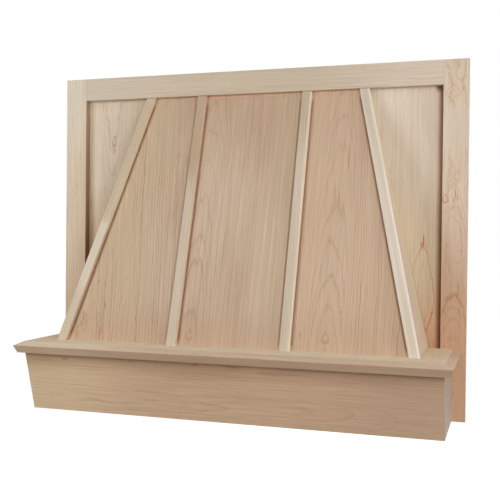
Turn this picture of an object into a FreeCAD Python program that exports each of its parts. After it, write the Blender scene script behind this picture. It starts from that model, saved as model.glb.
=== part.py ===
import FreeCAD
import Part
import math
import os

os.makedirs("parts", exist_ok=True)
V = FreeCAD.Vector

# ---- driving dimensions, mm ----
# face frame
FRAME_W = 914.4
FRAME_H = 735.0
FRAME_T = 19.05
STILE_W = 50.8
RAIL_W = 50.0
ARRIS = 0.8             # eased edge on the frame, apron and ledge
# recessed panels behind the frame
WING_T = 6.35
WING_LAP = 19.05        # lap over the back of the stile
WING_TOP_LAP = 15.0     # lap over the back of the rail
WING_INNER = 38.0       # how far a panel runs in behind the hood side
# apron box
APRON_SET = 27.2        # side of the apron, in from the outer edge of the stile
APRON_DEPTH = 172.0     # frame front to apron front, at the bottom
APRON_LEAN = 37.0       # how much further forward the top is
APRON_H = 124.0
APRON_T = 19.05
# ledge moulding, offsets outward from the top line of the apron
LEDGE_H = 23.4
LEDGE_TIP_Z = 15.0      # tip above the underside
LEDGE_TIP_OUT = 18.2
LEDGE_FOOT_OUT = 11.3
LEDGE_TOP_OUT = 2.0
LEDGE_IN = 85.0
NOSE_R = 1.2
# hood
HOOD_BASE_DEPTH = 153.0
HOOD_BASE_GAP = 24.1    # open part of the recessed panel beside the hood, at the ledge
HOOD_TOP_GAP = 151.8    # the same under the rail
HOOD_TOP_SET = 14.0     # how far behind the frame front the hood ends under the rail
PANEL_T = 6.35
SIDE_T = 12.7
SIDE_TIP = 3.0          # width left at the trimmed top of a hood side
# battens
BATTEN_W = 20.8
BATTEN_T = 9.5
BATTEN_R = 2.4
BATTEN_SHARE = 0.314    # centre line of an inner batten, as a share of the hood's half width at the base
# hidden cleats and blocks
CLEAT = 19.05
SIDE_CLEAT_LIFT = 27.6  # above the ledge
SIDE_CLEAT_GAP = 18.0   # below the place where the panel would reach it
BASE_GAP = 8.0
TOP_CLEAT_GAP = 4.0     # to the recessed panels
TOP_CLEAT_DROP = 30.0
TOP_CLEAT_RISE = 30.0
LINER_Z = 25.0
BLOCK_LIFT = 11.0       # above the liner cleats
BLOCK_GAP = 9.0         # below the ledge
BLOCK_LEG = 32.0
# screws
POCKET_TILT = 15.0
POCKET_R = 4.75
POCKET_HEAD_R = 4.2
POCKET_HEAD_T = 2.4
POCKET_SEAT = 16.0      # seat of the head from the joint, along the screw
POCKET_END = 18.0       # point of the screw from the joint, along the screw
POCKET_RISE = (22.0, 39.0)
SCREW_R = 1.9
HEAD_R = 3.8
HEAD_T = 2.2
WING_SCREW_L = 16.0
CLEAT_SCREW_L = 32.0
WING_SCREWS = 4         # along each stile
WING_SCREW_LOW = 41.0   # above the bottom of the panel
WING_SCREW_HIGH = 130.0
WING_SCREW_IN = (36.4, 106.4)
CLEAT_SCREW_SHARE = (0.3, 0.8)
# holes that take the screws from the cabinet
MOUNT_R = 1.5
MOUNT_DEPTH = 12.7
MOUNT_IN = 12.7         # from the outer edge of the stile
MOUNT_END = 67.5        # from either end of the stile

# ---- derived ----
HALF = FRAME_W / 2
OPEN_HALF = HALF - STILE_W
RAIL_Z = FRAME_H - RAIL_W
LEDGE_TOP = APRON_H + LEDGE_H
APRON_HALF = HALF - APRON_SET
HOOD_BASE_HALF = OPEN_HALF - HOOD_BASE_GAP
HOOD_TOP_HALF = OPEN_HALF - HOOD_TOP_GAP
BATTEN_X = BATTEN_SHARE * HOOD_BASE_HALF
APRON_TOP_DEPTH = APRON_DEPTH + APRON_LEAN
BACK = FRAME_T + CLEAT


def nose_loss():
    """how far the rounding of the tip draws it back."""
    low = V(LEDGE_FOOT_OUT - LEDGE_TIP_OUT, -LEDGE_TIP_Z, 0).normalize()
    high = V(LEDGE_TOP_OUT - LEDGE_TIP_OUT, LEDGE_H - LEDGE_TIP_Z, 0).normalize()
    middle = (low + high).normalize()
    return -middle.x * NOSE_R / math.sin(low.getAngle(high) / 2) - NOSE_R


TIP_DEPTH = APRON_TOP_DEPTH + LEDGE_TIP_OUT - nose_loss()
# the origin is under the middle of the whole piece
Y_SHIFT = (TIP_DEPTH - BACK - HEAD_T) / 2
HOOD_RISE = RAIL_Z - LEDGE_TOP
HOOD_RUN = HOOD_BASE_DEPTH + HOOD_TOP_SET
TILT = math.atan(HOOD_RUN / HOOD_RISE)
SPLAY = math.atan((HOOD_BASE_HALF - HOOD_TOP_HALF) / HOOD_RISE)
PANEL_Y = PANEL_T / math.cos(TILT)
SIDE_X = SIDE_T / math.cos(SPLAY)
CLEAT_X = CLEAT / math.cos(SPLAY)
APRON_Y = APRON_T / math.cos(math.atan(APRON_LEAN / APRON_H))


def at(x, y, z):
    """y is measured back from the front of the frame."""
    return V(x, y + Y_SHIFT, z)


def hood_y(z):
    """front face of the leaning panel."""
    return -HOOD_BASE_DEPTH + HOOD_RUN * (z - LEDGE_TOP) / HOOD_RISE


def hood_z(y):
    """height at which the front face of the panel reaches y."""
    return LEDGE_TOP + HOOD_RISE * (y + HOOD_BASE_DEPTH) / HOOD_RUN


def hood_half(z):
    """outer face of a hood side."""
    slope = (HOOD_TOP_HALF - HOOD_BASE_HALF) / HOOD_RISE
    return HOOD_BASE_HALF + slope * (z - LEDGE_TOP)


BASE_HALF = HOOD_BASE_HALF - SIDE_X - CLEAT - BASE_GAP
TOP_CLEAT_HALF = hood_half(RAIL_Z + WING_TOP_LAP) - WING_INNER - TOP_CLEAT_GAP
SIDE_CLEAT_Z0 = LEDGE_TOP + SIDE_CLEAT_LIFT
SIDE_CLEAT_Z1 = hood_z(FRAME_T - CLEAT - PANEL_Y) - SIDE_CLEAT_GAP
BLOCK_Z0 = LINER_Z + CLEAT + BLOCK_LIFT
BLOCK_Z1 = APRON_H - BLOCK_GAP
MOUNT_Z = (MOUNT_END, FRAME_H - MOUNT_END)


def apron_y(z):
    """front face of the apron board."""
    return -(APRON_DEPTH + APRON_LEAN * z / APRON_H)


def box(x0, x1, y0, y1, z0, z1):
    return Part.makeBox(x1 - x0, y1 - y0, z1 - z0, at(x0, y0, z0))


def loft(one, two):
    """solid between two polygons with the same number of corners."""
    count = len(one)
    rims = [one, two]
    for i in range(count):
        j = (i + 1) % count
        rims.append([one[i], one[j], two[j], two[i]])
    faces = [Part.Face(Part.makePolygon(rim + [rim[0]])) for rim in rims]
    solid = Part.makeSolid(Part.makeShell(faces))
    if solid.Volume < 0:
        solid.reverse()
    return solid


def mirror(shape):
    return shape.mirror(V(0, 0, 0), V(1, 0, 0))


def ease(shape, radius, wanted):
    """round the straight edges whose two end points pass the test."""
    edges = [e for e in shape.Edges if len(e.Vertexes) == 2 and wanted(e.Vertexes[0].Point, e.Vertexes[1].Point)]
    return shape.makeFillet(radius, edges) if edges else shape


def rod(radius, start, end):
    axis = end - start
    return Part.makeCylinder(radius, axis.Length, start, axis)


def save(name, shape):
    shape.exportStep("parts/" + name + ".step")


# ---- screws ----
def pocket_axis(side, z):
    """joint point and direction of one pocket screw."""
    tilt = math.radians(POCKET_TILT)
    joint = at(side * OPEN_HALF, FRAME_T / 2, z)
    return joint, V(side * math.cos(tilt), -math.sin(tilt), 0)


def pocket_screw(side, z):
    joint, way = pocket_axis(side, z)
    seat = joint - way * POCKET_SEAT
    head = rod(POCKET_HEAD_R, seat - way * POCKET_HEAD_T, seat)
    return head.fuse(rod(SCREW_R, seat, joint + way * POCKET_END))


def pocket_hole(side, z):
    joint, way = pocket_axis(side, z)
    seat = joint - way * POCKET_SEAT
    return rod(POCKET_R, seat - way * 60.0, seat)


def pan_screw(x, y, z, length):
    """head on a back face at y, point toward the front."""
    head = rod(HEAD_R, at(x, y, z), at(x, y + HEAD_T, z))
    return head.fuse(rod(SCREW_R, at(x, y - length, z), at(x, y, z)))


POCKETS = [(s, RAIL_Z + r) for s in (-1, 1) for r in POCKET_RISE]
LAP_X = OPEN_HALF + WING_LAP / 2
WING_LOW = APRON_H + WING_SCREW_LOW
WING_STEP = (RAIL_Z - WING_SCREW_HIGH - WING_LOW) / (WING_SCREWS - 1)
WING_SPOTS = [(s * LAP_X, WING_LOW + i * WING_STEP) for s in (-1, 1) for i in range(WING_SCREWS)]
WING_SPOTS += [(s * (OPEN_HALF - x), RAIL_Z + WING_TOP_LAP / 2) for s in (-1, 1) for x in WING_SCREW_IN]
CLEAT_Z = RAIL_Z + TOP_CLEAT_RISE / 2
CLEAT_SPOTS = [(s * f * TOP_CLEAT_HALF, CLEAT_Z) for s in (-1, 1) for f in CLEAT_SCREW_SHARE]

pocket_screws = [pocket_screw(s, z) for s, z in POCKETS]
wing_screws = [pan_screw(x, FRAME_T + WING_T, z, WING_SCREW_L) for x, z in WING_SPOTS]
cleat_screws = [pan_screw(x, BACK, z, CLEAT_SCREW_L) for x, z in CLEAT_SPOTS]
all_screws = pocket_screws + wing_screws + cleat_screws


def bore(shape):
    """take the screws that reach this piece out of it."""
    for screw in all_screws:
        if shape.BoundBox.intersect(screw.BoundBox):
            shape = shape.cut(screw)
    return shape


# ---- face frame ----
def stile():
    post = box(OPEN_HALF, HALF, 0, FRAME_T, 0, FRAME_H)
    front = Y_SHIFT
    post = ease(post, ARRIS, lambda a, b: abs(a.x - b.x) < 1e-6 and abs(a.y - front) < 1e-6
                and abs(b.y - front) < 1e-6 and a.x > HALF - 1)
    for z in MOUNT_Z:
        x = HALF - MOUNT_IN
        post = post.cut(rod(MOUNT_R, at(x, FRAME_T - MOUNT_DEPTH, z), at(x, FRAME_T, z)))
    return post


def top_rail():
    rail = box(-OPEN_HALF, OPEN_HALF, 0, FRAME_T, RAIL_Z, FRAME_H)
    for side, z in POCKETS:
        rail = rail.cut(pocket_hole(side, z))
    return rail


def wing_panel():
    z0 = APRON_H
    z1 = RAIL_Z + WING_TOP_LAP
    out = OPEN_HALF + WING_LAP
    rim = [(out, z0), (out, z1), (hood_half(z1) - WING_INNER, z1), (hood_half(z0) - WING_INNER, z0)]
    return loft([at(x, FRAME_T, z) for x, z in rim], [at(x, FRAME_T + WING_T, z) for x, z in rim])


save("left_stile", bore(mirror(stile())))
save("right_stile", bore(stile()))
save("top_rail", bore(top_rail()))
save("left_wing_panel", bore(mirror(wing_panel())))
save("right_wing_panel", bore(wing_panel()))


# ---- hood ----
def front_panel():
    rim = [(-1, LEDGE_TOP), (1, LEDGE_TOP), (1, RAIL_Z), (-1, RAIL_Z)]
    front = [at(s * hood_half(z), hood_y(z), z) for s, z in rim]
    back = [at(s * hood_half(z), hood_y(z) + PANEL_Y, z) for s, z in rim]
    behind = box(-HALF, HALF, FRAME_T, FRAME_T + HOOD_RUN, LEDGE_TOP, FRAME_H)
    return loft(front, back).cut(behind)


def hood_side():
    top = hood_z(FRAME_T - SIDE_TIP - PANEL_Y)
    rim = [(hood_y(LEDGE_TOP) + PANEL_Y, LEDGE_TOP), (FRAME_T, LEDGE_TOP),
           (FRAME_T, top), (FRAME_T - SIDE_TIP, top)]
    outer = [at(hood_half(z), y, z) for y, z in rim]
    inner = [at(hood_half(z) - SIDE_X, y, z) for y, z in rim]
    return loft(outer, inner)


def batten(edge_low, edge_high, width_x):
    """strip on the panel; the edges are its right side at the base and at the top."""
    lift_y = BATTEN_T / math.cos(TILT)
    rim = [(edge_low, LEDGE_TOP), (edge_high, RAIL_Z)]
    right = [at(x, hood_y(z), z) for x, z in rim]
    left = [at(x - width_x, hood_y(z), z) for x, z in rim]
    low = [right[0], left[0], left[0] - V(0, lift_y, 0), right[0] - V(0, lift_y, 0)]
    high = [right[1], left[1], left[1] - V(0, lift_y, 0), right[1] - V(0, lift_y, 0)]
    strip = loft(low, high)

    def outer_long(a, b):
        on_a = abs(a.y - Y_SHIFT - hood_y(a.z) + lift_y) < 1e-4
        on_b = abs(b.y - Y_SHIFT - hood_y(b.z) + lift_y) < 1e-4
        return on_a and on_b and abs(a.z - b.z) > HOOD_RISE / 2
    return ease(strip, BATTEN_R, outer_long)


def outer_batten():
    run = math.hypot(HOOD_RISE, HOOD_RUN)
    width = BATTEN_W * math.hypot(1, (HOOD_BASE_HALF - HOOD_TOP_HALF) / run)
    return batten(HOOD_BASE_HALF, HOOD_TOP_HALF, width)


def inner_batten():
    edge = BATTEN_X + BATTEN_W / 2
    return batten(edge, edge, BATTEN_W)


save("front_panel", front_panel())
save("left_hood_side", mirror(hood_side()))
save("right_hood_side", hood_side())
save("batten_outer_left", mirror(outer_batten()))
save("batten_inner_left", mirror(inner_batten()))
save("batten_inner_right", inner_batten())
save("batten_outer_right", outer_batten())


# ---- ledge ----
def ledge_rim(make):
    """profile of the moulding; make(offset, z) gives a point."""
    z0 = APRON_H
    return [make(-LEDGE_IN, z0), make(LEDGE_FOOT_OUT, z0), make(LEDGE_TIP_OUT, z0 + LEDGE_TIP_Z),
            make(LEDGE_TOP_OUT, LEDGE_TOP), make(-LEDGE_IN, LEDGE_TOP)]


def nose(a, b):
    """the three outer long edges of a ledge board."""
    far = (b - a).Length > LEDGE_IN
    inner_x = APRON_HALF - LEDGE_IN + 1
    inner_y = Y_SHIFT - APRON_TOP_DEPTH + LEDGE_IN - 1
    along_x = abs(a.y - b.y) < 1e-6 and a.y < inner_y
    along_y = abs(a.x - b.x) < 1e-6 and a.x > inner_x
    return far and (along_x or along_y)


def plan(points):
    """tall block over a shape in plan, used to cut the mitres."""
    low = [at(x, y, 0) for x, y in points]
    high = [at(x, y, FRAME_H) for x, y in points]
    return loft(low, high)


MITRE_OUT = LEDGE_IN    # well past the tip of the moulding
CORNER_IN = (APRON_HALF - LEDGE_IN, -APRON_TOP_DEPTH + LEDGE_IN)
CORNER_OUT = (APRON_HALF + MITRE_OUT, -APRON_TOP_DEPTH - MITRE_OUT)


def ledge_front():
    reach = APRON_HALF + MITRE_OUT
    one = ledge_rim(lambda o, z: at(-reach, -APRON_TOP_DEPTH - o, z))
    two = ledge_rim(lambda o, z: at(reach, -APRON_TOP_DEPTH - o, z))
    board = ease(loft(one, two), NOSE_R, nose)
    (xi, yi), (xo, yo) = CORNER_IN, CORNER_OUT
    return board.common(plan([(-xi, yi), (xi, yi), (xo, yo), (-xo, yo)]))


def ledge_side():
    reach = APRON_TOP_DEPTH + MITRE_OUT
    one = ledge_rim(lambda o, z: at(APRON_HALF + o, -reach, z))
    two = ledge_rim(lambda o, z: at(APRON_HALF + o, 0, z))
    board = ease(loft(one, two), NOSE_R, nose)
    (xi, yi), (xo, yo) = CORNER_IN, CORNER_OUT
    return board.common(plan([(xi, yi), (xo, yo), (xo, 0), (xi, 0)]))


save("ledge_front", ledge_front())
save("ledge_left", mirror(ledge_side()))
save("ledge_right", ledge_side())


# ---- apron ----
def apron_front():
    def level(z):
        y = apron_y(z)
        return [at(-APRON_HALF, y, z), at(APRON_HALF, y, z),
                at(APRON_HALF - APRON_T, y + APRON_Y, z), at(-APRON_HALF + APRON_T, y + APRON_Y, z)]
    return loft(level(0), level(APRON_H))


def apron_side():
    def level(z):
        y = apron_y(z)
        inner = APRON_HALF - APRON_T
        return [at(APRON_HALF, y, z), at(APRON_HALF, 0, z), at(inner, 0, z), at(inner, y + APRON_Y, z)]
    return loft(level(0), level(APRON_H))


save("apron_front", apron_front())
save("apron_left", mirror(apron_side()))
save("apron_right", apron_side())


# ---- hidden cleats and blocks ----
def top_cleat():
    z0 = RAIL_Z - TOP_CLEAT_DROP
    z1 = RAIL_Z + TOP_CLEAT_RISE
    return box(-TOP_CLEAT_HALF, TOP_CLEAT_HALF, FRAME_T, BACK, z0, z1)


def side_cleat():
    def level(z):
        x = hood_half(z) - SIDE_X
        y = FRAME_T - CLEAT
        return [at(x, y, z), at(x, FRAME_T, z), at(x - CLEAT_X, FRAME_T, z), at(x - CLEAT_X, y, z)]
    return loft(level(SIDE_CLEAT_Z0), level(SIDE_CLEAT_Z1))


def base_cleat_front():
    def level(z):
        y = hood_y(z) + PANEL_Y
        back = hood_y(LEDGE_TOP) + PANEL_Y + CLEAT
        return [at(-BASE_HALF, y, z), at(BASE_HALF, y, z), at(BASE_HALF, back, z), at(-BASE_HALF, back, z)]
    return loft(level(LEDGE_TOP), level(LEDGE_TOP + CLEAT))


def base_cleat_side():
    y0 = hood_y(LEDGE_TOP) + PANEL_Y + CLEAT + BASE_GAP
    y1 = -BASE_GAP

    def level(z):
        x = hood_half(z) - SIDE_X
        inner = hood_half(LEDGE_TOP) - SIDE_X - CLEAT
        return [at(x, y0, z), at(x, y1, z), at(inner, y1, z), at(inner, y0, z)]
    return loft(level(LEDGE_TOP), level(LEDGE_TOP + CLEAT))


def liner_cleat_front():
    half = APRON_HALF - APRON_T
    back = apron_y(LINER_Z) + APRON_Y + CLEAT

    def level(z):
        y = apron_y(z) + APRON_Y
        return [at(-half, y, z), at(half, y, z), at(half, back, z), at(-half, back, z)]
    return loft(level(LINER_Z), level(LINER_Z + CLEAT))


def liner_cleat_side():
    out = APRON_HALF - APRON_T
    front = apron_y(LINER_Z) + APRON_Y + CLEAT
    return box(out - CLEAT, out, front, 0, LINER_Z, LINER_Z + CLEAT)


def corner_block():
    def level(z):
        x = APRON_HALF - APRON_T
        y = apron_y(z) + APRON_Y
        return [at(x, y, z), at(x - BLOCK_LEG, y, z), at(x, y + BLOCK_LEG, z)]
    return loft(level(BLOCK_Z0), level(BLOCK_Z1))


def return_cleat():
    out = APRON_HALF - APRON_T
    return box(out - CLEAT, out, -CLEAT, 0, BLOCK_Z0, BLOCK_Z1)


save("top_cleat", bore(top_cleat()))
save("left_side_cleat", mirror(side_cleat()))
save("right_side_cleat", side_cleat())
save("base_cleat_front", base_cleat_front())
save("base_cleat_left", mirror(base_cleat_side()))
save("base_cleat_right", base_cleat_side())
save("liner_cleat_front", liner_cleat_front())
save("liner_cleat_left", mirror(liner_cleat_side()))
save("liner_cleat_right", liner_cleat_side())
save("left_corner_block", mirror(corner_block()))
save("right_corner_block", corner_block())
save("left_return_cleat", mirror(return_cleat()))
save("right_return_cleat", return_cleat())

# ---- fasteners ----
save("pocket_screws", Part.makeCompound(pocket_screws))
save("wing_screws", Part.makeCompound(wing_screws))
save("cleat_screws", Part.makeCompound(cleat_screws))
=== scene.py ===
import math

import bpy
from mathutils import Matrix, Vector


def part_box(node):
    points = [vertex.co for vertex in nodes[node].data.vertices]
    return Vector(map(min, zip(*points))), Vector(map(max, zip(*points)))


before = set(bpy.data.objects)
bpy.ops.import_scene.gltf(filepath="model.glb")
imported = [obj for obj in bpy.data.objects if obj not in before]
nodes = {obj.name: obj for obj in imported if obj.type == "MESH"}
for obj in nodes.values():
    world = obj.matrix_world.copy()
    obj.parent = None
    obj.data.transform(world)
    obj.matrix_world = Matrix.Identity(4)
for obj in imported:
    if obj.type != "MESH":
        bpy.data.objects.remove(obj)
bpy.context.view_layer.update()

# ---------------------------------------------------------------- the object's own planes, metres

FACE_Y = 0.0933  # front of the stiles and the rail
PLY_Y = 0.1123  # face of the recessed side panels
STILE_X = 0.4318  # middle line of a stile
STILE_Z = 0.37  # about half-way up it
RAIL_Z = 0.710  # middle line of the rail
RAIL_HALF = 0.4064  # half its length, to the butt joints
HOOD_FOOT = Vector((0.0, -0.0597, 0.1474))  # foot of the leaning hood panel
HOOD_HEAD = Vector((0.0, 0.1073, 0.6850))  # its line under the top rail
BATTEN_T = 0.0095
BATTEN_FOOT_X, BATTEN_HEAD_X = 0.3725, 0.2440  # middle line of an outer batten at the panel's foot and head
BATTEN_OUTER_X, BATTEN_INNER_X = 0.308, 0.120  # middle lines of the battens half-way up
LEDGE_TOP = 0.1474
APRON_HEAD = Vector((0.0, -0.1157, 0.1240))
APRON_FOOT = Vector((0.0, -0.0787, 0.0000))
APRON_Z = 0.062  # half-way up the apron
PLY = 0.00127  # one of the five plies of the panels

UP = Vector((0, 0, 1))
ACROSS = Vector((1, 0, 0))
FRONT = Vector((0, -1, 0))
TO_WALL = Vector((0, 1, 0))
HOOD_UP = (HOOD_HEAD - HOOD_FOOT).normalized()
HOOD_OUT = HOOD_UP.cross(ACROSS).normalized() * -1
APRON_OUT = (APRON_HEAD - APRON_FOOT).normalized().cross(ACROSS).normalized() * -1
BATTEN_RUN = (BATTEN_FOOT_X - BATTEN_HEAD_X) / (HOOD_HEAD - HOOD_FOOT).length  # sideways per metre of slope
SIDE_CLEAT_RUN = 0.2375  # sideways per metre of height, for the cleats of the hood sides
OUTER_UP = {s: (HOOD_UP - ACROSS * s * BATTEN_RUN).normalized() for s in (-1, 1)}
SIDE_OUT = {s: Vector((s, 0, BATTEN_RUN * 0.9)).normalized() for s in (-1, 1)}  # nearly square to the hood sides


def tone(red, green, blue):
    """A display colour, 0 to 255, as the shader's linear colour."""
    out = []
    for c in (red, green, blue):
        c /= 255
        out.append(c / 12.92 if c <= 0.04045 else ((c + 0.055) / 1.055) ** 2.4)
    return (*out, 1.0)


# ---------------------------------------------------------------- node building


class Net:
    """Writes shader nodes from plain expressions."""

    def __init__(self, tree):
        self.tree = tree
        tree.nodes.clear()

    def feed(self, socket, value):
        if isinstance(value, bpy.types.NodeSocket):
            self.tree.links.new(value, socket)
        else:
            socket.default_value = value

    def put(self, kind, feeds=None, **props):
        node = self.tree.nodes.new(kind if kind.startswith("Node") else "ShaderNode" + kind)
        for name, value in props.items():
            setattr(node, name, value)
        for name, value in (feeds or {}).items():
            self.feed(node.inputs[name], value)
        return node

    def calc(self, operation, *values, clamp=False):
        node = self.put("Math", operation=operation, use_clamp=clamp)
        for socket, value in zip(node.inputs, values):
            self.feed(socket, value)
        return node.outputs[0]

    def times(self, one, two):
        return self.calc("MULTIPLY", one, two)

    def minus(self, one, two):
        return self.calc("SUBTRACT", one, two)

    def vec(self, operation, *values):
        node = self.put("VectorMath", operation=operation)
        for socket, value in zip(node.inputs, values):
            self.feed(socket, value)
        return node.outputs["Value" if operation in ("DOT_PRODUCT", "LENGTH") else "Vector"]

    def split(self, vector):
        return self.put("SeparateXYZ", {"Vector": vector}).outputs

    def join(self, **parts):
        return self.put("CombineXYZ", parts).outputs[0]

    def noise(self, vector, cells, detail=2.0, rough=0.5, colour=False):
        scaled = self.vec("MULTIPLY", vector, cells)
        node = self.put("TexNoise", {"Vector": scaled, "Scale": 1.0, "Detail": detail, "Roughness": rough})
        return node.outputs["Color" if colour else "Fac"]

    def band(self, value, low, high, to_low=0.0, to_high=1.0, smooth=True):
        """Low to high of the value brought to the other range, and held at its ends."""
        feeds = {"Value": value, "From Min": low, "From Max": high, "To Min": to_low, "To Max": to_high}
        node = self.put("MapRange", feeds)
        node.interpolation_type = "SMOOTHSTEP" if smooth else "LINEAR"
        return node.outputs["Result"]

    def mix(self, share, one, two, blend="MIX"):
        node = self.put("Mix", data_type="RGBA", blend_type=blend)
        self.feed(node.inputs[0], share)
        self.feed(node.inputs[6], one)
        self.feed(node.inputs[7], two)
        return node.outputs[2]

    def ramp(self, value, stops):
        node = self.put("ValToRGB", {"Fac": value})
        ends = node.color_ramp.elements
        while len(ends) < len(stops):
            ends.new(0.5)
        for end, (place, level) in zip(ends, stops):
            end.position = place
            end.color = (level, level, level, 1)
        return node.outputs["Color"]


def fresh(name):
    """A new material and the net of its nodes."""
    material = bpy.data.materials.new(name)
    material.use_nodes = True
    return material, Net(material.node_tree)


# ---------------------------------------------------------------- the figure of maple

# noise cells per metre: across the board, into it and along its grain
DRIFT, CLOUD, FAINT = (7, 7, 4.5), (13, 13, 3.2), (11, 11, 5)
RIPPLE, FRAY, JAG = (42, 42, 10), (145, 145, 20), (85, 85, 52)
STREAK, FIBRE, NAP = (190, 190, 2.6), (520, 520, 9.0), (1400, 1400, 60)
DASH, RARE, SWAY = (430, 430, 52), (38, 38, 13), (60, 60, 34)
PORE, LAYER, SHEET = (900, 900, 900), (260, 900, 260), (17, 17, 2.1)

# how dark one year is from its start to its end
RING_PROFILE = [(0.0, 0.34), (0.07, 0.08), (0.45, 0.03), (0.76, 0.16), (0.92, 1.0), (1.0, 0.40)]
FIGURE_IN = ("Place", "Pith", "Depth", "Taper", "Bow", "Ring", "Wander", "Jag", "Seed")
FIGURE_OUT = ("Line", "Streak", "Fibre", "Fleck", "Cloud")


def make_figure():
    """Growth rings cut by a board, its fibre, small flecks and slow colour clouds.

    Place is the board's own position in metres: x across its face, y into it, z along the grain.
    The rings are circles round a pith line that lies Depth behind the face and rises and falls
    along the board by Taper and Bow, so a flat cut shows arches and eyes, and an edge shows lines.
    Wander bends them slowly, and Jag frays them in short steps.
    """
    tree = bpy.data.node_groups.new("maple_figure", "ShaderNodeTree")
    net = Net(tree)
    for name in FIGURE_IN:
        kind = "NodeSocketVector" if name in ("Place", "Seed") else "NodeSocketFloat"
        tree.interface.new_socket(name, in_out="INPUT", socket_type=kind)
    for name in FIGURE_OUT:
        tree.interface.new_socket(name, in_out="OUTPUT", socket_type="NodeSocketFloat")
    given = net.put("NodeGroupInput").outputs
    x, y, z = net.split(given["Place"])
    seeded = net.vec("ADD", given["Place"], given["Seed"])

    # the distance from the pith, in years of growth
    slow = net.split(net.vec("SUBTRACT", net.noise(seeded, DRIFT, 2.5, 0.55, colour=True), (0.5, 0.5, 0.5)))
    aside = net.calc("MULTIPLY_ADD", slow[0], net.times(given["Wander"], 2.2), net.minus(x, given["Pith"]))
    rise = net.calc("MULTIPLY_ADD", z, given["Taper"], net.times(net.times(z, z), given["Bow"]))
    behind = net.calc("MULTIPLY_ADD", slow[1], given["Wander"], rise)
    behind = net.calc("ADD", net.calc("ADD", y, given["Depth"]), behind)
    radius = net.calc("SQRT", net.calc("MULTIPLY_ADD", aside, aside, net.times(behind, behind)))
    year = net.calc("DIVIDE", radius, given["Ring"])
    year = net.calc("MULTIPLY_ADD", net.noise(seeded, RIPPLE, 1.0), 0.85, year)
    year = net.calc("MULTIPLY_ADD", net.noise(seeded, FRAY, 2.0, 0.6), 0.62, year)
    year = net.calc("MULTIPLY_ADD", net.noise(seeded, JAG, 2.0, 0.62), given["Jag"], year)
    grown = net.join(X=year, Y=3.7, Z=1.3)
    uneven = net.put("TexNoise", {"Vector": grown, "Scale": 0.42, "Detail": 1.0}).outputs["Fac"]
    year = net.calc("MULTIPLY_ADD", uneven, 1.9, year)

    # each year's dark rim, of its own strength and faint in places
    rim = net.ramp(net.calc("FRACT", year), RING_PROFILE)
    strength = net.put("TexWhiteNoise", {"W": net.calc("FLOOR", year)}, noise_dimensions="1D").outputs["Value"]
    strength = net.calc("MULTIPLY_ADD", net.calc("POWER", strength, 1.4), 0.68, 0.32)
    faint = net.band(net.noise(seeded, FAINT, 2.0), 0.30, 0.62, 0.50, 1.0)
    line = net.times(net.times(rim, strength), faint)

    streak = net.noise(seeded, STREAK, 3.0, 0.66)
    fibre = net.noise(seeded, FIBRE, 3.0, 0.65)
    dash = net.noise(seeded, DASH, 1.0)
    rare = net.noise(seeded, RARE, 1.0)
    fleck = net.times(net.band(dash, 0.69, 0.79), net.band(rare, 0.56, 0.70))
    cloud = net.noise(seeded, CLOUD, 3.0, 0.55)
    out = net.put("NodeGroupOutput")
    for name, value in zip(FIGURE_OUT, (line, streak, fibre, fleck, cloud)):
        net.feed(out.inputs[name], value)
    return tree


FIGURE = make_figure()


def turn(grain, face):
    """The rotation that takes x across, y into the board and z along its grain to the object's axes."""
    along = grain.normalized()
    inward = (face * -1 - along * along.dot(face * -1)).normalized()
    side = inward.cross(along).normalized()
    return Matrix((side, inward, along)).transposed().to_euler()


def cut_board(net, place, z, *, gain, lean, seed, rise=0.0, **cut):
    """The figure of one cut, lifted along the board by rise and drifting sideways along it by lean."""
    board = net.put("Group", node_tree=FIGURE)
    if rise:
        place = net.vec("SUBTRACT", place, (0, 0, rise))
    if lean:
        place = net.vec("ADD", place, net.join(X=net.times(z, lean)))
    net.feed(board.inputs["Place"], place)
    net.feed(board.inputs["Seed"], (seed, seed * 1.7, seed * 0.61))
    for key, value in cut.items():
        net.feed(board.inputs[key.capitalize()], value)
    rings, *others = (board.outputs[name] for name in FIGURE_OUT)
    return [net.calc("MULTIPLY", rings, gain, clamp=True), *others]


# ---------------------------------------------------------------- steps of the colour, each laid over the last

# painted shade: every inner corner is darkened out to reach, unless a piece turns it off as the next line does
DEFAULT_PAINTED_CORNER_SHADE = dict(amount=0.34, reach=0.0085, full=0.50, tint=(108, 55, 22), glow=0.0, only=())
NO_PAINTED_CORNER_SHADE = dict(amount=0)
# the first is the tint of a painted warm glow of bounced light beside shaded corners, the second the tint of dark joint
# lines
PAINTED_BOUNCE_GLOW, JOINT = (200, 128, 76), (128, 98, 70)
PLY_PALE, PLY_DEEP, PLY_GLUE, PLY_SMEAR = (222, 200, 166), (178, 142, 104), (112, 78, 52), (150, 112, 78)
BACK_PALE, BACK_DEEP, BACK_WAVE = (208, 178, 140), (194, 160, 120), (168, 130, 94)


def lay_drifts(net, colour, axes, clouds, drifts):
    """Slow drifts of colour, each (axis, from, to, amount, tint); a few of them are painted light and a few painted
    shade.
    """
    for axis, low, high, amount, tint in drifts:
        drift = net.calc("MULTIPLY_ADD", net.minus(clouds, 0.5), (high - low) * 0.8, axes[axis])
        colour = net.mix(net.band(drift, low, high, 0.0, amount), colour, tone(*tint))
    return colour


def lay_marks(net, colour, axes, streaks, fibres, marks):
    """Mineral streaks and pin knots, each (x, z, half width, half height, amount, tint)."""
    for mx, mz, wide, tall, amount, tint in marks:
        wriggle = net.calc("MULTIPLY_ADD", net.minus(streaks, 0.5), wide * 2.6, net.minus(axes["x"], mx))
        side = net.calc("POWER", net.calc("DIVIDE", wriggle, wide), 2.0)
        along = net.calc("POWER", net.calc("DIVIDE", net.minus(axes["z"], mz), tall), 2.0)
        inside = net.band(net.calc("ADD", side, along), 1.0, 0.1, 0, 1)
        grain_in = net.band(fibres, 0.34, 0.58, 0.25, 1.0)
        colour = net.mix(net.times(net.times(inside, grain_in), amount), colour, tone(*tint))
    return colour


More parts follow.
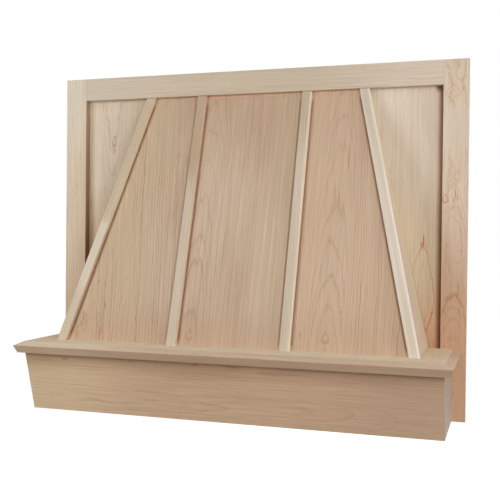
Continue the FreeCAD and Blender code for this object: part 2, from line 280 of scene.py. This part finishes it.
def lay_loops(net, colour, axes, place, streaks, loops):
    """Closed growth lines, each (x, z, half width, half height, line's width as a share, amount, tint)."""
    for mx, mz, wide, tall, share, amount, tint in loops:
        sway = net.times(net.minus(net.noise(place, SWAY, 2.0), 0.5), 0.55)
        v = net.calc("DIVIDE", net.minus(axes["z"], mz), tall)
        u = net.calc("DIVIDE", net.minus(axes["x"], mx), net.calc("MULTIPLY_ADD", v, -0.45 * wide, wide))
        far = net.calc("ADD", net.calc("SQRT", net.calc("ADD", net.times(u, u), net.times(v, v))), sway)
        thin = net.band(net.calc("ABSOLUTE", net.minus(far, 1.0)), share, share * 0.15, 0, amount)
        colour = net.mix(net.times(thin, net.band(streaks, 0.30, 0.55, 0.45, 1.0)), colour, tone(*tint))
    return colour


def lay_painted_face_light(net, colour, axes, normal, painted_face_light):
    """Painted light and shade on faces that look one way, each (way, from, to, amount, tint) and, if wanted, from and
    to along the grain.
    """
    for way, low, high, amount, tint, *span in painted_face_light:
        share = net.band(net.vec("DOT_PRODUCT", normal, tuple(way)), low, high, 0.0, amount)
        if span:
            share = net.times(share, net.band(axes["z"], *span))
        colour = net.mix(share, colour, tone(*tint))
    return colour


def lay_painted_corner_shade(net, colour, axes, amount, reach, full, tint, glow, only):
    """Painted shade in inner corners out to reach, a painted warm glow of bounced light outside it, and the parts of
    the piece it keeps to.
    """
    open_sky = net.put("AmbientOcclusion", {"Distance": reach}, samples=6).outputs["AO"]
    kept = 1.0
    for axis, low, high in only:
        kept = net.times(kept, net.band(axes[axis], low, high))
    if glow:
        colour = net.mix(net.times(net.band(open_sky, 0.99, 0.72, 0.0, glow), kept), colour, tone(*PAINTED_BOUNCE_GLOW))
    held = net.band(open_sky, 0.98, full, 0.0, amount, smooth=False)
    return net.mix(net.times(held, kept), colour, tone(*tint))


def lay_end_grain(net, colour, place, normal, grain):
    """Open pores where the board is cut across."""
    end = net.band(net.calc("ABSOLUTE", net.vec("DOT_PRODUCT", normal, tuple(grain.normalized()))), 0.60, 0.80)
    pores = net.band(net.noise(place, PORE, 2.0, 0.6), 0.35, 0.62, 0.78, 0.98)
    pores = net.join(X=pores, Y=net.times(pores, 0.955), Z=net.times(pores, 0.90))
    return net.mix(end, colour, net.mix(1.0, colour, pores, "MULTIPLY"))


def lay_plies(net, colour, axes, place, normal, face, ply, grey):
    """The layers at a plywood edge and the rotary-cut sheet on its back."""
    outward = tuple(face.normalized())
    edge = net.band(net.calc("ABSOLUTE", net.vec("DOT_PRODUCT", normal, outward)), 0.75, 0.45)
    layer = net.calc("DIVIDE", axes["y"], ply)
    core = net.calc("MODULO", net.calc("FLOOR", layer), 2.0)
    glue = net.band(net.calc("PINGPONG", layer, 0.5), 0.05, 0.0)
    stripe = net.mix(core, tone(*PLY_PALE), tone(*PLY_DEEP))
    stripe = net.mix(net.times(glue, 0.7), stripe, tone(*PLY_GLUE))
    stripe = net.mix(net.band(net.noise(place, LAYER, 3.0, 0.6), 0.3, 0.7, 0, 0.35), stripe, tone(*PLY_SMEAR))
    colour = net.mix(edge, colour, stripe)
    back = net.band(net.vec("DOT_PRODUCT", normal, outward), -0.6, -0.9)
    sheet = net.noise(place, SHEET, 4.0, 0.62)
    wave = net.band(net.calc("PINGPONG", net.times(sheet, 9.0), 0.5), 0.02, 0.10, 0.40, 0.0)
    behind = net.mix(net.band(sheet, 0.3, 0.7), tone(*BACK_PALE), tone(*BACK_DEEP))
    behind = net.mix(wave, behind, tone(*BACK_WAVE))
    return net.mix(back, colour, net.mix(1.0, behind, grey, "MULTIPLY"))


def maple(name, at, grain, face, *, light, deep, pith=0.0, depth=0.03, taper=0.05, bow=0.0, ring=0.005, wander=0.006,
          seed=0.0, jag=0.0, gain=1.0, lean=0.0, leaves=(), calm=None, line=0.30, rim=(168, 112, 78), streak=0.35,
          fibre=0.10, cloud=0.45, fleck=0.5, rough=0.70, tone_and_painted_light=(), marks=(), loops=(), butt=0.0, painted_face_light=(), painted_corner_shade=None,
          ply=0.0):
    """Sanded maple for one piece, with its face's centre at the given place.

    pith to jag shape the rings, gain is their strength and lean their sideways drift along the piece.
    leaves: further veneer leaves, each (low edge x, what changes in the cut).
    calm: (low, high, share) of the length where the rings are weaker.
    line, streak, fibre, cloud, fleck: how much of each comes into the colour, which runs from light to deep,
    with rings and flecks of rim.
    Drifts, marks, loops, face tints and corner shade are what lay_drifts, lay_marks, lay_loops and the two painted
    layers take: painted light and shade on faces that look one way, and painted shade in inner corners; a few drifts
    are painted light and shade too.
    butt: half length to a joint line. ply: the thickness of one ply, for plywood.
    """
    material, net = fresh(name)
    where = net.put("TexCoord")
    local = net.put("Mapping", {"Vector": where.outputs["Object"]}, vector_type="TEXTURE")
    local.inputs["Location"].default_value = at
    local.inputs["Rotation"].default_value = turn(grain, face)
    place = local.outputs[0]
    x, y, z = net.split(place)
    axes = {"x": x, "y": y, "z": z}
    normal = where.outputs["Normal"]

    first = dict(pith=pith, depth=depth, taper=taper, bow=bow, ring=ring, wander=wander, seed=seed, jag=jag,
                 gain=gain, lean=lean)
    seen = cut_board(net, place, z, **first)
    for low, changes in leaves:
        other = cut_board(net, place, z, **{**first, **changes})
        here = net.calc("GREATER_THAN", x, low)
        seen = [net.calc("MULTIPLY_ADD", here, net.minus(b, a), a) for a, b in zip(seen, other)]
    rings, streaks, fibres, flecks, clouds = seen
    if calm:
        low, high, share = calm
        inside = net.times(net.band(z, low, low + 0.03), net.band(z, high, high - 0.03))
        rings = net.times(rings, net.calc("MULTIPLY_ADD", inside, -share, 1.0))

    streaky = net.times(net.band(streaks, 0.30, 0.70, 0, 1), streak)
    shade = net.calc("MULTIPLY_ADD", net.band(clouds, 0.30, 0.70, 0, 1), cloud, streaky, clamp=True)
    colour = lay_drifts(net, net.mix(shade, tone(*light), tone(*deep)), axes, clouds, tone_and_painted_light)
    colour = net.mix(net.times(rings, line), colour, tone(*rim))
    colour = net.mix(net.times(flecks, fleck), colour, tone(*[c * 0.82 for c in rim]))
    colour = lay_marks(net, colour, axes, streaks, fibres, marks)
    colour = lay_loops(net, colour, axes, place, streaks, loops)
    if butt:
        joint = net.band(net.calc("ABSOLUTE", z), butt - 0.0009, butt - 0.0002, 0, 0.42)
        colour = net.mix(joint, colour, tone(*JOINT))
    colour = lay_painted_face_light(net, colour, axes, normal, painted_face_light)
    painted_corner_shade = {**DEFAULT_PAINTED_CORNER_SHADE, **(painted_corner_shade or {})}
    if painted_corner_shade["amount"]:
        colour = lay_painted_corner_shade(net, colour, axes, **painted_corner_shade)
    value = net.band(fibres, 0.25, 0.75, 1.0 + fibre, 1.0 - fibre, smooth=False)
    grey = net.join(X=value, Y=value, Z=value)
    colour = lay_end_grain(net, net.mix(1.0, colour, grey, "MULTIPLY"), place, normal, grain)
    if ply:
        colour = lay_plies(net, colour, axes, place, normal, face, ply, grey)

    height = net.calc("MULTIPLY_ADD", fibres, 0.7, net.times(rings, -0.5))
    height = net.calc("MULTIPLY_ADD", net.noise(place, NAP, 2.0, 0.6), 0.6, height)
    bump = net.put("Bump", {"Height": height, "Strength": 0.28, "Distance": 0.00022})
    shine = net.calc("MULTIPLY_ADD", rings, -0.05, rough)
    shine = net.calc("MULTIPLY_ADD", net.minus(fibres, 0.5), 0.22, shine)
    surface = net.put("BsdfPrincipled", {"Base Color": colour, "Roughness": shine, "Normal": bump.outputs[0],
                                         "Metallic": 0.0, "IOR": 1.46, "Specular IOR Level": 0.20})
    net.put("OutputMaterial", {"Surface": surface.outputs[0]})
    return material


def dress(material, *names):
    for name in names:
        mesh = nodes[name].data
        if not mesh.materials:
            mesh.materials.append(material)
        for slot in nodes[name].material_slots:
            slot.material = material


# ---------------------------------------------------------------- boards of the face frame

RED, RUST, OCHRE, TAN = (172, 100, 68), (190, 122, 78), (192, 152, 102), (184, 132, 98)

dress(maple(
    "stile_left_maple", (-STILE_X, FACE_Y, STILE_Z), UP, FRONT, light=(225, 208, 182), deep=(212, 192, 165),
    pith=-0.050, depth=0.022, taper=0.020, ring=0.0060, wander=0.010, seed=1.3,
    painted_corner_shade=NO_PAINTED_CORNER_SHADE, line=0.34, streak=0.45, cloud=0.40,
    tone_and_painted_light=[("z", 0.12, 0.30, 0.8, (220, 208, 190)), ("z", 0.05, -0.22, 0.7, (225, 192, 155)),
          ("x", 0.008, 0.024, 0.35, (212, 188, 158))],
    marks=[(0.012, 0.185, 0.0018, 0.012, 0.4, TAN), (0.004, 0.118, 0.0016, 0.010, 0.4, TAN)],
    # painted shade on the stile's inner face, darker towards the bottom
    painted_face_light=[(ACROSS, 0.5, 0.9, 0.60, (124, 84, 50)), (ACROSS, 0.5, 0.9, 0.60, (88, 46, 18), 0.20, -0.12)],
), "left_stile")
dress(maple(
    "stile_right_maple", (STILE_X, FACE_Y, STILE_Z), UP, FRONT, light=(217, 201, 181), deep=(205, 186, 163),
    pith=-0.003, depth=0.060, taper=0.045, bow=-0.045, ring=0.0025, wander=0.019, seed=4.1, jag=1.2, gain=1.5,
    painted_corner_shade=NO_PAINTED_CORNER_SHADE, line=0.62, streak=0.40, cloud=0.45, fleck=0.6, rim=(186, 124, 74), calm=(0.165, 0.285, 0.85),
    tone_and_painted_light=[("z", 0.14, -0.16, 0.85, (201, 165, 137)), ("z", -0.05, -0.30, 0.55, (206, 160, 125))],
    marks=[(0.001, 0.092, 0.0014, 0.015, 0.8, RED), (0.005, 0.084, 0.0016, 0.011, 0.8, RED),
           (-0.002, 0.078, 0.0013, 0.008, 0.7, RED), (0.008, 0.060, 0.0012, 0.020, 0.6, RED),
           (0.009, -0.102, 0.0016, 0.020, 0.7, RED), (0.005, -0.114, 0.0013, 0.012, 0.6, RED),
           (0.012, -0.150, 0.0012, 0.016, 0.5, RED), (-0.010, -0.060, 0.0012, 0.014, 0.4, RED)],
    loops=[(-0.019, 0.083, 0.0045, 0.008, 0.35, 0.7, RUST), (0.0095, 0.3480, 0.0085, 0.0270, 0.12, 0.45, OCHRE),
           (-0.0060, 0.3000, 0.0125, 0.013, 0.14, 0.45, OCHRE), (-0.0045, 0.2960, 0.0060, 0.006, 0.20, 0.4, OCHRE),
           (0.0080, -0.0350, 0.0060, 0.013, 0.16, 0.4, (196, 140, 96))],
), "right_stile")
# the rail keeps the default painted shade in its inner corners
dress(maple(
    "rail_maple", (0.0, FACE_Y, RAIL_Z), ACROSS, FRONT, light=(209, 193, 170), deep=(194, 176, 152),
    pith=0.040, depth=0.022, taper=0.034, ring=0.0064, wander=0.008, seed=7.9,
    line=0.40, streak=0.45, cloud=0.35, rim=(182, 144, 100), calm=(-0.45, 0.03, 0.55), butt=RAIL_HALF,
    tone_and_painted_light=[("z", 0.10, 0.38, 0.7, (213, 198, 180)), ("z", -0.10, -0.38, 0.7, (209, 196, 178))],
), "top_rail")

# ---------------------------------------------------------------- veneered plywood

KNOT = (150, 98, 68)
LEAF = dict(depth=0.085, ring=0.0031, jag=0.0, lean=0.0)  # flat-cut leaf, with arches
dress(maple(
    "panel_veneer", (0.0, HOOD_FOOT.y, HOOD_FOOT.z), HOOD_UP, HOOD_OUT, light=(213, 191, 167), deep=(189, 161, 134),
    pith=-0.330, depth=0.060, taper=0.030, ring=0.0060, wander=0.007, seed=2.2, jag=0.9, gain=1.7, lean=0.075,
    leaves=[(-0.120, dict(LEAF, pith=-0.088, taper=0.042, wander=0.006, seed=5.6, gain=0.95, rise=0.034)),
            (0.120, dict(LEAF, pith=0.202, taper=0.040, wander=0.006, seed=9.4, gain=0.90, rise=0.038)),
            (0.234, dict(pith=0.060, depth=0.050, ring=0.0058, seed=9.4, jag=0.5, gain=1.6, lean=0.0, rise=0.038))],
    line=0.54, streak=0.55, fibre=0.13, cloud=0.50, fleck=0.6, ply=PLY, rim=(164, 110, 78),
    # painted shade along the battens, kept off the head and the foot of the panel
    painted_corner_shade=dict(amount=0.72, reach=0.0075, full=0.66, tint=(134, 76, 38),
              only=[("z", 0.550, 0.535), ("z", 0.004, 0.014)]),
    tone_and_painted_light=[("z", 0.34, 0.56, 0.7, (192, 163, 137)), ("x", 0.02, 0.09, 0.35, (206, 186, 152)),
          ("x", -0.150, -0.220, 0.30, (208, 188, 154)), ("x", 0.112, 0.130, 0.55, (206, 177, 150)),
          ("x", -0.150, -0.175, 0.55, (200, 178, 148)), ("z", 0.10, 0.01, 0.50, (195, 164, 138)),
          # the last drift is painted light just under the rail, laid over its shadow
          ("z", 0.5545, 0.5590, 0.8, (222, 182, 154))],
    marks=[(-0.2493, 0.4166, 0.0015, 0.0075, 0.7, KNOT), (-0.1581, 0.4220, 0.0014, 0.0070, 0.65, KNOT),
           (0.2200, 0.4080, 0.0022, 0.034, 0.55, (180, 110, 84)), (-0.0870, 0.2050, 0.0020, 0.006, 0.5, (160, 96, 70)),
           (0.2140, 0.165, 0.0018, 0.006, 0.5, (166, 98, 72)), (-0.0360, 0.4500, 0.0016, 0.075, 0.45, (168, 104, 76)),
           (-0.2874, 0.0172, 0.0028, 0.020, 0.6, (186, 112, 80)), (0.1480, 0.033, 0.0014, 0.010, 0.6, (150, 84, 60))],
    loops=[(-0.0848, 0.0230, 0.0055, 0.0100, 0.45, 0.4, (186, 116, 86)),
           (0.1985, 0.0290, 0.0060, 0.0100, 0.45, 0.4, (186, 116, 86))],
), "front_panel")
WING = dict(ply=PLY, wander=0.009, fleck=0.5, streak=0.5, cloud=0.45)
dress(maple(
    "wing_veneer_left", (-0.325, PLY_Y, 0.42), UP, FRONT, **WING, light=(222, 208, 189), deep=(208, 190, 167),
    pith=-0.022, depth=0.060, taper=-0.055, ring=0.0034, seed=11.5, jag=0.8, line=0.80, rim=(176, 128, 82), painted_corner_shade=NO_PAINTED_CORNER_SHADE,
    # the second drift is painted light towards the stile, laid over the shadow it casts
    tone_and_painted_light=[("x", 0.004, 0.040, 0.5, (206, 192, 160)), ("x", -0.050, -0.078, 0.85, (250, 233, 203)),
          ("z", 0.08, -0.08, 0.70, (222, 194, 156))],
    marks=[(-0.017, 0.150, 0.0024, 0.011, 0.7, (162, 108, 70)), (-0.040, 0.060, 0.0014, 0.012, 0.4, (176, 124, 88))],
    loops=[(-0.018, 0.172, 0.0040, 0.011, 0.35, 0.6, (166, 112, 66))],
), "left_wing_panel")
FLAME = (190, 98, 66)
dress(maple(
    "wing_veneer_right", (0.325, PLY_Y, 0.27), UP, FRONT, **WING, light=(224, 210, 191), deep=(210, 191, 168),
    pith=-0.260, depth=0.030, taper=0.01, ring=0.0060, seed=13.2, line=0.44, rim=(192, 142, 90),
    # painted shadow of the stile in the corner beside it, and a painted warm glow of bounced light outside it
    painted_corner_shade=dict(amount=0.90, reach=0.0150, full=0.54, tint=(94, 48, 20), glow=0.50, only=[("x", 0.062, 0.070)]),
    tone_and_painted_light=[("z", 0.25, 0.12, 0.7, (221, 202, 172)), ("z", 0.03, -0.10, 0.85, (230, 186, 146))],
    marks=[(0.0440, 0.098, 0.0022, 0.016, 0.8, FLAME), (0.0480, 0.084, 0.0020, 0.012, 0.75, FLAME),
           (0.0400, 0.082, 0.0016, 0.009, 0.6, FLAME), (0.018, 0.330, 0.0016, 0.016, 0.4, (186, 130, 94)),
           (0.0470, 0.150, 0.0030, 0.030, 0.25, (204, 140, 108))],
    loops=[(0.0415, 0.000, 0.0225, 0.092, 0.050, 0.62, (192, 112, 74)),
           (0.0430, -0.012, 0.0110, 0.058, 0.09, 0.25, (200, 136, 98))],
), "right_wing_panel")

# ---------------------------------------------------------------- hood sides and battens

for side, name in ((-1, "left_hood_side"), (1, "right_hood_side")):
    # the hood sides keep the default painted shade in their inner corners
    dress(maple(
        name + "_maple", (side * 0.32, 0.05, 0.40), OUTER_UP[side], SIDE_OUT[side],
        light=(219, 202, 177), deep=(205, 186, 159), pith=0.03, depth=0.06, taper=0.04, ring=0.005, wander=0.008,
        seed=15.0 + side, line=0.30, streak=0.4, cloud=0.4, tone_and_painted_light=[("z", 0.0, -0.16, 0.6, (201, 181, 157))],
    ), name)

STRIP = dict(painted_corner_shade=NO_PAINTED_CORNER_SHADE, line=0.26, ring=0.0048, wander=0.004, streak=0.60, cloud=0.30, fleck=0.25,
             rim=(176, 136, 100))
MID = (HOOD_FOOT + HOOD_HEAD) / 2 + HOOD_OUT * BATTEN_T
dress(maple(
    "batten_maple_outer_left", MID - ACROSS * BATTEN_OUTER_X, OUTER_UP[-1], HOOD_OUT, **STRIP,
    light=(211, 194, 167), deep=(197, 178, 149), pith=0.05, depth=0.03, taper=0.03, seed=21.0,
    tone_and_painted_light=[("z", -0.006, -0.030, 0.60, (229, 216, 200)), ("z", -0.15, -0.20, 0.65, (206, 187, 160))],
    # painted light on the batten's side face, turning to painted shade towards the foot
    painted_face_light=[(ACROSS, 0.5, 0.9, 0.60, (226, 204, 174)), (ACROSS, 0.5, 0.9, 0.60, (186, 156, 122), 0.02, -0.06)],
), "batten_outer_left")
dress(maple(
    "batten_maple_inner_left", MID - ACROSS * BATTEN_INNER_X, HOOD_UP, HOOD_OUT, **STRIP,
    light=(213, 198, 176), deep=(199, 181, 156), pith=-0.04, depth=0.05, taper=0.02, seed=22.7,
    # the face tint is painted light on the batten's side face
    tone_and_painted_light=[("z", 0.02, 0.14, 0.9, (191, 165, 137))], painted_face_light=[(ACROSS, 0.5, 0.9, 0.50, (222, 190, 156))],
), "batten_inner_left")
dress(maple(
    "batten_maple_inner_right", MID + ACROSS * BATTEN_INNER_X, HOOD_UP, HOOD_OUT, **STRIP,
    light=(215, 201, 180), deep=(202, 186, 164), pith=0.06, depth=0.04, taper=-0.02, seed=24.1,
    # painted highlight along the right edge of the face (the drift across it), and painted light on the side face
    tone_and_painted_light=[("z", 0.10, 0.24, 0.9, (197, 178, 152)), ("x", 0.0060, 0.0078, 0.35, (236, 224, 206))],
    painted_face_light=[(ACROSS, 0.5, 0.9, 0.70, (236, 218, 196))],
), "batten_inner_right")
dress(maple(
    "batten_maple_outer_right", MID + ACROSS * BATTEN_OUTER_X, OUTER_UP[1], HOOD_OUT, **STRIP,
    light=(226, 213, 195), deep=(212, 197, 177), pith=-0.05, depth=0.02, taper=0.03, seed=25.9,
    tone_and_painted_light=[("z", 0.06, 0.25, 0.8, (206, 190, 165)), ("z", -0.10, -0.25, 0.5, (214, 196, 172)),
          # painted highlight along the right edge of the face (the drift from 0.0046 to 0.0068), and painted light on
          # the side face
          ("x", 0.0046, 0.0068, 0.45, (240, 233, 226)), ("x", -0.002, -0.009, 0.5, (232, 222, 211))],
    painted_face_light=[(ACROSS, 0.5, 0.9, 0.75, (240, 230, 216))],
), "batten_outer_right")

# ---------------------------------------------------------------- ledge and apron

LEDGE = dict(painted_corner_shade=NO_PAINTED_CORNER_SHADE, ring=0.0050, wander=0.006, streak=0.5, cloud=0.35, line=0.18, rim=(170, 120, 84), fleck=0.4)
RETURN = dict(**LEDGE, light=(240, 219, 190), deep=(226, 204, 174))
NOSE_PAINTED_SHADE = (FRONT, 0.50, 0.80, 0.72, (164, 131, 103))  # painted shade on the undercut nose, the faces that look to the front
dress(maple(
    "ledge_maple_front", (0.0, -0.09, LEDGE_TOP), ACROSS, UP, **LEDGE, light=(215, 193, 165), deep=(200, 176, 148),
    pith=0.10, depth=0.03, taper=0.02, seed=33.3, tone_and_painted_light=[("z", -0.10, -0.34, 0.75, (231, 213, 187))],
    # painted light on the top face, and painted shade on the nose
    painted_face_light=[(UP, 0.93, 0.99, 0.80, (242, 227, 201)), NOSE_PAINTED_SHADE],
), "ledge_front")
dress(maple(
    "ledge_maple_left", (-0.40, -0.01, LEDGE_TOP), TO_WALL, UP, **RETURN, pith=0.07, depth=0.03, taper=0.04, seed=32.4,
    # painted light on the faces that look up
    painted_face_light=[(UP, 0.70, 0.88, 0.32, (250, 232, 206))],
), "ledge_left")
dress(maple(
    "ledge_maple_right", (0.40, -0.01, LEDGE_TOP), TO_WALL, UP, **RETURN, pith=-0.07, depth=0.03, taper=0.04, seed=34.8,
    # painted light on the top, painted shade on the right-facing end face, and painted shade on the nose
    painted_face_light=[(UP, 0.93, 0.99, 0.15, (248, 228, 202)), (ACROSS, 0.30, 0.44, 0.85, (192, 163, 134)),
           (ACROSS, 0.50, 0.80, 1.0, (148, 121, 95)), NOSE_PAINTED_SHADE],
), "ledge_right")

APRON = dict(wander=0.012, streak=0.55, cloud=0.45, rim=(160, 110, 76), fleck=0.5, painted_corner_shade=NO_PAINTED_CORNER_SHADE)
dress(maple(
    "apron_maple_front", (0.0, (APRON_HEAD.y + APRON_FOOT.y) / 2, APRON_Z), ACROSS, APRON_OUT, **APRON,
    light=(206, 175, 145), deep=(189, 157, 127), pith=0.030, depth=0.050, taper=0.035, bow=0.02, ring=0.0036,
    seed=41.0, jag=0.10, line=0.34, fibre=0.16,
    tone_and_painted_light=[("z", -0.10, -0.36, 0.7, (217, 192, 157)), ("z", 0.10, 0.36, 0.6, (184, 154, 128)),
          # the last drift is painted shadow of the ledge, darker towards the top of the apron
          ("x", -0.018, -0.064, 0.75, (160, 126, 98))],
    marks=[(-0.0540, -0.3369, 0.0024, 0.010, 0.75, (140, 80, 46)), (-0.0575, -0.188, 0.0022, 0.008, 0.7, (140, 80, 46)),
           (-0.0590, -0.0473, 0.0034, 0.008, 0.9, (146, 84, 44)), (-0.0580, 0.030, 0.0040, 0.020, 0.75, (140, 84, 52)),
           (-0.0500, 0.1250, 0.0052, 0.055, 0.45, (138, 92, 64)), (0.0100, 0.048, 0.0012, 0.020, 0.5, (184, 112, 90))],
), "apron_front")
for side, name in ((-1, "apron_left"), (1, "apron_right")):
    dress(maple(
        name + "_maple", (side * 0.43, 0.0, APRON_Z), TO_WALL, ACROSS * side, **APRON,
        # painted shade: the apron ends are a darker, greyer copy of the apron's maple
        light=(180, 164, 149), deep=(167, 150, 135), pith=0.02, depth=0.03, taper=0.06, ring=0.006,
        seed=43.0 + side, line=0.30,
        # painted shadow of the ledge: darker towards the top, lighter towards the bottom
        tone_and_painted_light=[("x", -0.004 * side, -0.040 * side, 0.7, (162, 145, 127)),
              ("x", 0.010 * side, 0.060 * side, 0.6, (186, 170, 152))],
    ), name)

# ---------------------------------------------------------------- cleats and blocks behind

CLEAT = dict(light=(216, 192, 160), deep=(196, 164, 128), pith=0.02, depth=0.035, taper=0.05, ring=0.0058,
             wander=0.010, line=0.36, streak=0.55, cloud=0.5, fibre=0.14, rim=(156, 112, 76), rough=0.76)
LENGTHWISE = {
    "top_cleat": ACROSS, "base_cleat_front": ACROSS, "liner_cleat_front": ACROSS,
    "left_corner_block": UP, "right_corner_block": UP, "left_return_cleat": UP, "right_return_cleat": UP,
    "base_cleat_left": TO_WALL, "base_cleat_right": TO_WALL,
    "liner_cleat_left": TO_WALL, "liner_cleat_right": TO_WALL,
    "left_side_cleat": (UP + ACROSS * SIDE_CLEAT_RUN).normalized(),
    "right_side_cleat": (UP - ACROSS * SIDE_CLEAT_RUN).normalized(),
}
for count, (name, run) in enumerate(LENGTHWISE.items()):
    low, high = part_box(name)
    middle = (Vector(low) + Vector(high)) / 2
    outward = UP if run is TO_WALL else FRONT
    # the cleats keep the default painted shade in their inner corners
    dress(maple(name + "_wood", middle, run, outward, **CLEAT, seed=51.0 + 1.9 * count), name)


def zinc():
    """Bright zinc on small steel screws: brushed and a little cloudy."""
    material, net = fresh("zinc_plate")
    place = net.put("TexCoord").outputs["Object"]
    cloud = net.noise(place, (420, 420, 420), 3.0, 0.6)
    fine = net.noise(place, (2600, 2600, 2600), 2.0, 0.5)
    colour = net.mix(net.band(cloud, 0.3, 0.7), tone(206, 208, 206), tone(176, 176, 168))
    bump = net.put("Bump", {"Height": fine, "Strength": 0.2, "Distance": 0.00008})
    rough = net.band(cloud, 0.3, 0.7, 0.26, 0.42)
    surface = net.put("BsdfPrincipled", {"Base Color": colour, "Roughness": rough, "Metallic": 1.0,
                                         "Normal": bump.outputs[0]})
    net.put("OutputMaterial", {"Surface": surface.outputs[0]})
    return material


dress(zinc(), "pocket_screws", "wing_screws", "cleat_screws")

# ---------------------------------------------------------------- camera

SENSOR = 36.0  # mm
FOCAL = 811.2 / 500  # focal length as a share of the picture's width
YAW, PITCH, ROLL = 0.307, 0.01205, 0.01042
CAMERA_AT = (0.5338, -1.59783, 0.3640)

camera_data = bpy.data.cameras.new("camera")
camera = bpy.data.objects.new("camera", camera_data)
bpy.context.collection.objects.link(camera)
bpy.context.scene.camera = camera
camera_data.sensor_width = SENSOR
camera_data.lens = FOCAL * SENSOR
camera_data.clip_start, camera_data.clip_end = 0.05, 60.0
look = Vector((-math.sin(YAW) * math.cos(PITCH), math.cos(YAW) * math.cos(PITCH), -math.sin(PITCH)))
right = Vector((math.cos(YAW), math.sin(YAW), 0.0))
above = right.cross(look)
turned_right = right * math.cos(ROLL) + above * math.sin(ROLL)
turned_up = above * math.cos(ROLL) - right * math.sin(ROLL)
attitude = Matrix((turned_right, turned_up, -look)).transposed().to_4x4()
camera.matrix_world = Matrix.Translation(CAMERA_AT) @ attitude

# ---------------------------------------------------------------- lights, world and floor

LAMPS = (  # name, place, target, width, height, watts
    ("soft_left", (-1.30, -1.30, 0.75), (-0.26, 0.05, 0.40), 0.8, 0.8, 14.0),
    ("soft_middle", (-0.50, -1.30, 0.75), (-0.10, 0.05, 0.40), 0.7, 0.7, 2.2),
    ("soft_right", (1.10, -1.30, 0.80), (0.22, 0.05, 0.40), 0.7, 0.7, 11.0),
    ("side_right", (2.00, -0.50, 0.60), (0.10, 0.00, 0.40), 0.9, 1.3, 15.5),
    ("high_front", (0.00, -1.70, 2.30), (0.00, 0.00, 0.40), 2.0, 0.6, 7.0),
    ("back_left", (-0.50, 2.00, 1.20), (-0.10, 0.10, 0.35), 0.8, 0.8, 20.0),
    ("back_right", (0.50, 2.00, 1.20), (0.10, 0.10, 0.35), 0.8, 0.8, 20.0),
)
for name, place, target, wide, high, watts in LAMPS:
    data = bpy.data.lights.new(name, "AREA")
    data.shape = "RECTANGLE"
    data.size, data.size_y = wide, high
    data.energy = watts
    made = bpy.data.objects.new(name, data)
    bpy.context.collection.objects.link(made)
    made.location = place
    made.rotation_euler = (Vector(target) - Vector(place)).to_track_quat("-Z", "Y").to_euler()

WHITE = (1, 1, 1, 1)
world = bpy.data.worlds.new("studio")
bpy.context.scene.world = world
world.use_nodes = True
sky = Net(world.node_tree)
path = sky.put("LightPath").outputs
mirrored = sky.calc("MAXIMUM", path["Is Glossy Ray"], path["Is Transmission Ray"])
seen_white = sky.calc("MAXIMUM", path["Is Camera Ray"], mirrored)
both = sky.put("MixShader", {"Fac": seen_white})
for socket, strength in zip(both.inputs[1:], (0.02, 1.0)):  # as a light, as a background
    sky.feed(socket, sky.put("Background", {"Color": WHITE, "Strength": strength}).outputs[0])
sky.put("OutputWorld", {"Surface": both.outputs[0]})

FLOOR_Z, FLOOR_HALF = -0.62, 9
corners = [(-FLOOR_HALF, -FLOOR_HALF), (FLOOR_HALF, -FLOOR_HALF), (FLOOR_HALF, FLOOR_HALF), (-FLOOR_HALF, FLOOR_HALF)]
floor_mesh = bpy.data.meshes.new("floor")
floor_mesh.from_pydata([(x, y, FLOOR_Z) for x, y in corners], [], [(0, 1, 2, 3)])
floor = bpy.data.objects.new("floor", floor_mesh)
bpy.context.collection.objects.link(floor)
paper, net = fresh("pale_floor")
path = net.put("LightPath").outputs
mottle = net.noise(net.put("TexCoord").outputs["Object"], (40, 40, 40), 3.0)
matt = net.put("BsdfDiffuse", {"Color": net.mix(mottle, (0.80, 0.80, 0.80, 1), (0.83, 0.83, 0.825, 1))})
away = net.vec("LENGTH", net.put("TexCoord").outputs["Object"])
glow = net.band(away, 1.0, 3.2, 0.80, 1.0)
seen = net.calc("MAXIMUM", path["Is Camera Ray"], path["Is Glossy Ray"])
lift = net.put("Emission", {"Color": WHITE, "Strength": net.times(seen, glow)})
added = net.put("AddShader")
net.feed(added.inputs[0], matt.outputs[0])
net.feed(added.inputs[1], lift.outputs[0])
net.put("OutputMaterial", {"Surface": added.outputs[0]})
floor_mesh.materials.append(paper)

scene = bpy.context.scene
scene.view_settings.view_transform = "Standard"
